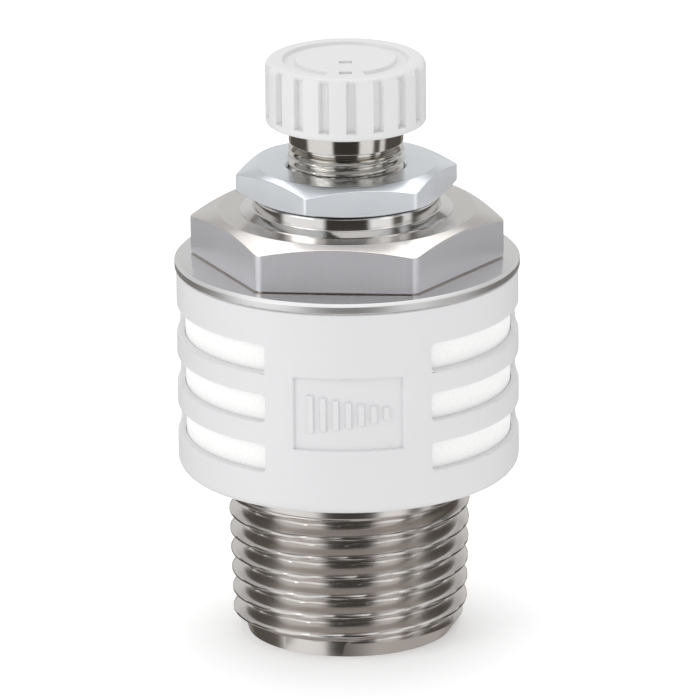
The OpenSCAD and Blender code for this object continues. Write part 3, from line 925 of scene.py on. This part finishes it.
def knob_outline(angle):
    groove = fluted(angle)
    channel_z = knob_top - channel_depth * (1 - bridged(angle))
    shoulder = arc(knob_r - top_round, knob_top - top_round, top_round, 0, 90, 9)
    side = [(knob_r, flute_z), (knob_r - flute_depth * groove, flute_z + flute_slope)]
    side += [(knob_r - flute_depth * groove, z) for z in even(flute_z + 0.4, knob_top - top_round, 0.8)]
    side += [(r - flute_depth * groove * max(0, 1 - i / 5), z) for i, (r, z) in enumerate(shoulder)]
    return rounded([
        (0, stem_hole_top), (stem_end_r, stem_hole_top), (stem_end_r, knob_z, 0.1), (core_r, knob_z, 0.15),
        (core_r, recess_z, 0.1), (rim_in_r, recess_z, 0.1), (rim_in_r, knob_z, 0.15),
        (knob_r, knob_z, 0.68), *side, (channel_out_r, knob_top, 0.07),
        (channel_out_r - channel_draft, channel_z, 0.05), (channel_in_r + channel_draft, channel_z, 0.05),
        (channel_in_r, knob_top, 0.07), (channel_in_r - 1.5, knob_top), (0, knob_top)], steps=5)


def index_marks():
    """Sinks short straight marks into the knob's top, in a row from its middle towards the front."""
    group, tree, given = geometry_tree("index marks", [
        "Height", "Length", "Width", "Depth", "First", "Spacing"])
    size = tree.add("ShaderNodeCombineXYZ", inputs={
        0: given["Length"], 1: given["Width"], 2: given["Depth"] * 2})
    block = tree.add("GeometryNodeMeshCube", inputs={"Size": size})
    start = tree.add("ShaderNodeCombineXYZ", inputs={1: 0 - given["First"], 2: given["Height"]})
    step = tree.add("ShaderNodeCombineXYZ", inputs={1: 0 - given["Spacing"]})
    row = tree.add("GeometryNodeMeshLine", {"mode": "OFFSET"}, {
        "Count": 2, "Start Location": start, "Offset": step})
    blocks = tree.add("GeometryNodeInstanceOnPoints", inputs={"Points": row, "Instance": block})
    solid = tree.add("GeometryNodeRealizeInstances", inputs={"Geometry": blocks})
    sunk = tree.add("GeometryNodeMeshBoolean", {"operation": "DIFFERENCE", "solver": "EXACT"},
                    {"Mesh 1": given["Geometry"], "Mesh 2": solid})
    close_tree(tree, given, sunk)
    return group


flute_stops = sorted({(front + flute_turn + 360 / flute_count * i + side * (flute_half - inset)) % 360
                      for i in range(flute_count) for side in (-1, 1) for inset in (0, flute_draft)}
                     | {(front + side * (bridge_half + step)) % 360
                        for side in (-1, 1) for step in (0, bridge_draft)})
knob_angles = step_list(flute_stops + [flute_stops[0] + 360], 2.6)[:-1]
knob = revolved("knob_moulded", knob_outline, knob_angles, loop=False)
knob_plastic = moulded("knob_plastic", (0.75, 0.75, 0.75), (0.72, 0.72, 0.72), 0.38, 0.10)
grow(knob, index_marks(), Height=knob_top * MM, Length=1.1 * MM, Width=0.8 * MM, Depth=0.3 * MM,
     First=1.2 * MM, Spacing=3.4 * MM, Material=knob_plastic)
settle(knob, 32)
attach(knob, "spindle")
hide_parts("knob")

# ---------------------------------------------------------------- studio
# A pale paper floor, soft light from behind above and from the left with a weak fill from the right,
# and a room with dark and bright walls that the plated metal mirrors as upright bands.

scene = bpy.context.scene
scene.view_settings.view_transform = "Standard"

bpy.ops.mesh.primitive_plane_add(size=6)
floor = bpy.context.object
floor.name = "floor"
paper, tree, shader, where = finish("floor_paper", (0.98, 0.98, 0.98), 0.9, specular=0.1)
fibre = noise(tree, where, 40.0)
tint(tree, shader, fibre, (0.985, 0.985, 0.985), (0.975, 0.975, 0.975))
# A faint glow keeps the paper white, as a lit backdrop is
shader.inputs["Emission Color"].default_value = (1, 1, 1, 1)
shader.inputs["Emission Strength"].default_value = 0.16
floor.data.materials.append(paper)
floor.visible_glossy = False

# How bright the walls are at each bearing, in degrees to the right of the front
room_bands = [(-180, 0.6), (-172, 0.6), (-166, 0.3), (-152, 0.3), (-146, 0.10), (-88, 0.10), (-80, 1.0),
              (-30, 1.0), (-24, 0.05), (24, 0.05), (30, 1.0), (54, 1.0), (60, 0.12), (70, 0.12), (74, 0.85),
              (82, 0.85), (88, 0.10), (142, 0.10), (150, 0.3), (166, 0.3), (172, 0.6), (180, 0.6)]
# Where the walls end, as the height of the direction looked in, and how softly
horizon_width = 0.06
ceiling_from = 0.42
ceiling_width = 0.1
ground_from = -0.5
ground_width = 0.15
shaded_paper = (0.50, 0.47, 0.45, 1)
soft_fill = (0.88, 0.88, 0.88, 1)
world = bpy.data.worlds.new("studio")
world.use_nodes = True
world.node_tree.nodes.clear()
scene.world = world
room = Tree(world.node_tree)
way = room.add("ShaderNodeSeparateXYZ", inputs={0: room.add("ShaderNodeTexCoord")["Generated"]})
bearing = way["X"].math("ARCTAN2", 0 - way["Y"]) / (2 * pi) + 0.5


def wall_colour(v):
    """A grey of the room, brown where it is dark."""
    return (v, v * 0.9, v * 0.8) if v < 0.5 else (v, v, v)


stops = [((a + 180) / 360, wall_colour(v)) for a, v in room_bands]
bands = room.add("ShaderNodeValToRGB", {"stops": stops}, {"Fac": bearing})
# Behind the object and overhead the room is pale, with a greyer stretch between
climb = [(0.30, 0.72), (0.42, 0.5), (0.66, 0.5), (0.76, 1.0)]
above = room.add("ShaderNodeValToRGB", {"stops": [(z, (v, v, v)) for z, v in climb]}, {"Fac": way["Z"]})
past_middle = (way["Y"] * 4).math("ADD", 0, clamp=True)
over_horizon = (way["Z"] / horizon_width + 0.5).math("ADD", 0, clamp=True)
overhead = ((way["Z"] - ceiling_from) / ceiling_width).math("ADD", 0, clamp=True)
risen = (past_middle * over_horizon).math("MAXIMUM", overhead)
walls = blend(room, risen, bands, above)
# Steeply below, the metal mirrors the shaded paper
fallen = ((ground_from - way["Z"]) / ground_width).math("ADD", 0, clamp=True)
mirrored = blend(room, fallen, walls, shaded_paper)
ray = room.add("ShaderNodeLightPath")
shown = blend(room, ray["Is Glossy Ray"], soft_fill, mirrored)
backdrop = room.add("ShaderNodeBackground", inputs={"Color": shown})
room.add("ShaderNodeOutputWorld", inputs={"Surface": backdrop})

lit_point = Vector((0, 0, 0.025))


def softbox(name, place, size, power):
    """A square lamp that points at the middle of the object."""
    lamp = bpy.data.lights.new(name, "AREA")
    lamp.size = size
    lamp.energy = power
    holder = bpy.data.objects.new(name, lamp)
    holder.location = place
    holder.rotation_euler = (lit_point - Vector(place)).to_track_quat("-Z", "Y").to_euler()
    scene.collection.objects.link(holder)


softbox("overhead", (0, 0.45, 0.85), 0.8, 1.8)
softbox("left_key", (-0.7, -0.45, 0.5), 0.5, 1.35)
softbox("right_fill", (0.75, -0.45, 0.3), 0.5, 0.3)

# ---------------------------------------------------------------- camera
# A long lens in front of the muffler and a little above it, so that it shows almost no perspective.

distance = 0.9
elevation = 17.5
middle = Vector((0.00018, 0, 0.0253))
seen_width = 0.0613
roll = 0.5
lens = bpy.data.cameras.new("camera")
lens.lens = lens.sensor_width * distance / seen_width
camera = bpy.data.objects.new("camera", lens)
away = Vector((0, -cos(radians(elevation)), sin(radians(elevation))))
camera.location = middle + away * distance
camera.rotation_euler = away.to_track_quat("Z", "Y").to_matrix().to_4x4().to_euler()
camera.rotation_euler.rotate_axis("Z", radians(-roll))
scene.collection.objects.link(camera)
scene.camera = camera
